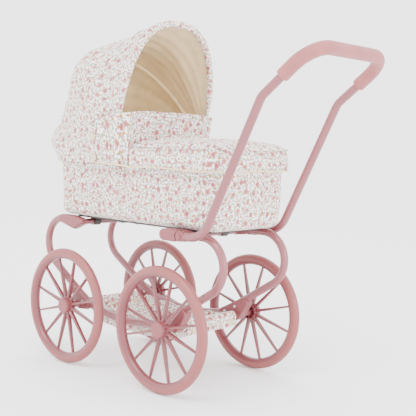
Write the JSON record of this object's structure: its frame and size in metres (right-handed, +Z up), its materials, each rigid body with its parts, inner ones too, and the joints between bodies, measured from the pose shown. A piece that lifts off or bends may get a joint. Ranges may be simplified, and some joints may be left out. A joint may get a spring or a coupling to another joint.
{
  "type": "doll's pram",
  "caption": "Doll's pram: C-spring tube chassis on four spoked wheels, floral bassinet with padded apron, folding hood and fold-down push handle.",
  "frame": {"origin": "on the ground, under the middle of the pram's overall length and width", "axes": "+X towards the push handle, +Z up, -Y the left-hand side as seen by the person pushing"},
  "size_m": [0.6257, 0.2392, 0.5908],
  "materials": {
    "frame_paint": "satin powder coat, dusty pink",
    "wheel_plastic": "satin mauve-pink moulding",
    "tyre_soft": "matte soft plastic, peach pink",
    "trim_plastic": "satin dusty-pink moulding",
    "grip_foam": "matte closed-cell foam",
    "bright_steel": "bright zinc plate",
    "dark_plastic": "matte dark moulding",
    "floral_fabric": "off-white woven cotton with dusty-rose flowers",
    "lining_fabric": "plain beige cotton",
    "hoop_wire": "cream-coated spring wire",
    "snap_cream": "cream moulded snap fastener"
  },
  "bodies": {
    "chassis": {"apron": "floral_fabric", "axle_clips": "bright_steel", "axle_washers": "bright_steel", "base_plate": "dark_plastic", "basket": "floral_fabric", "basket_snaps": "snap_cream", "bassinet_clips": "dark_plastic", "bassinet_rim": "lining_fabric", "bassinet_tub": "floral_fabric", "bracket_bolts": "bright_steel", "collar_snaps": "snap_cream", "connector_screws": "bright_steel", "front_axle": "bright_steel", "front_axle_sleeve": "frame_paint", "front_bracket_left": "trim_plastic", "front_bracket_right": "trim_plastic", "front_connector_left": "trim_plastic", "front_connector_right": "trim_plastic", "front_cross_tube": "frame_paint", "front_tube_left": "frame_paint", "front_tube_right": "frame_paint", "handle_pins": "trim_plastic", "handle_socket_left": "trim_plastic", "handle_socket_right": "trim_plastic", "hood_canopy": "floral_fabric", "hood_hinge_left": "trim_plastic", "hood_hinge_right": "trim_plastic", "mattress": "lining_fabric", "rear_axle": "bright_steel", "rear_axle_sleeve": "frame_paint", "rear_bracket_left": "trim_plastic", "rear_bracket_right": "trim_plastic", "rear_connector_left": "trim_plastic", "rear_connector_right": "trim_plastic", "rear_cross_tube": "frame_paint", "rear_tube_left": "frame_paint", "rear_tube_right": "frame_paint", "windbreak_collar": "floral_fabric"},
    "push_handle": {"foam_grip": "grip_foam", "handle_knuckle_left": "trim_plastic", "handle_knuckle_right": "trim_plastic", "handle_tube": "frame_paint"},
    "hood_front": {"front_hoop": "hoop_wire"},
    "wheel_front_left": {"hub_cap_front_left": "trim_plastic", "tyre_front_left": "tyre_soft", "wheel_front_left": "wheel_plastic"},
    "wheel_front_right": {"hub_cap_front_right": "trim_plastic", "tyre_front_right": "tyre_soft", "wheel_front_right": "wheel_plastic"},
    "wheel_rear_left": {"hub_cap_rear_left": "trim_plastic", "tyre_rear_left": "tyre_soft", "wheel_rear_left": "wheel_plastic"},
    "wheel_rear_right": {"hub_cap_rear_right": "trim_plastic", "tyre_rear_right": "tyre_soft", "wheel_rear_right": "wheel_plastic"},
    "hood_mid": {"mid_hoop": "hoop_wire"}
  },
  "joints": [
    {"name": "front_left_wheel_spin", "type": "hinge", "parent": "chassis", "child": "wheel_front_left", "pos_m": [-0.192, -0.1116, 0.1], "axis": [0, 1, 0], "continuous": true},
    {"name": "front_right_wheel_spin", "type": "hinge", "parent": "chassis", "child": "wheel_front_right", "pos_m": [-0.192, 0.1116, 0.1], "axis": [0, 1, 0], "continuous": true},
    {"name": "rear_left_wheel_spin", "type": "hinge", "parent": "chassis", "child": "wheel_rear_left", "pos_m": [0.047, -0.1116, 0.1], "axis": [0, 1, 0], "continuous": true},
    {"name": "rear_right_wheel_spin", "type": "hinge", "parent": "chassis", "child": "wheel_rear_right", "pos_m": [0.047, 0.1116, 0.1], "axis": [0, 1, 0], "continuous": true},
    {"name": "handle_fold", "type": "hinge", "parent": "chassis", "child": "push_handle", "pos_m": [0.0695, 0, 0.247], "axis": [0, 1, 0], "range_deg": [0, 80]},
    {"name": "hood_fold", "type": "hinge", "parent": "chassis", "child": "hood_front", "pos_m": [-0.0775, 0, 0.385], "axis": [0, -1, 0], "range_deg": [0, 70], "deforming": ["hood_canopy"]},
    {"name": "hood_mid_fold", "type": "hinge", "parent": "chassis", "child": "hood_mid", "pos_m": [-0.0775, 0, 0.385], "axis": [0, -1, 0], "range_deg": [0, 35]}
  ],
  "couplings": [
    {"joint": "hood_mid_fold", "follows": "hood_fold", "ratio": 0.5}
  ]
}
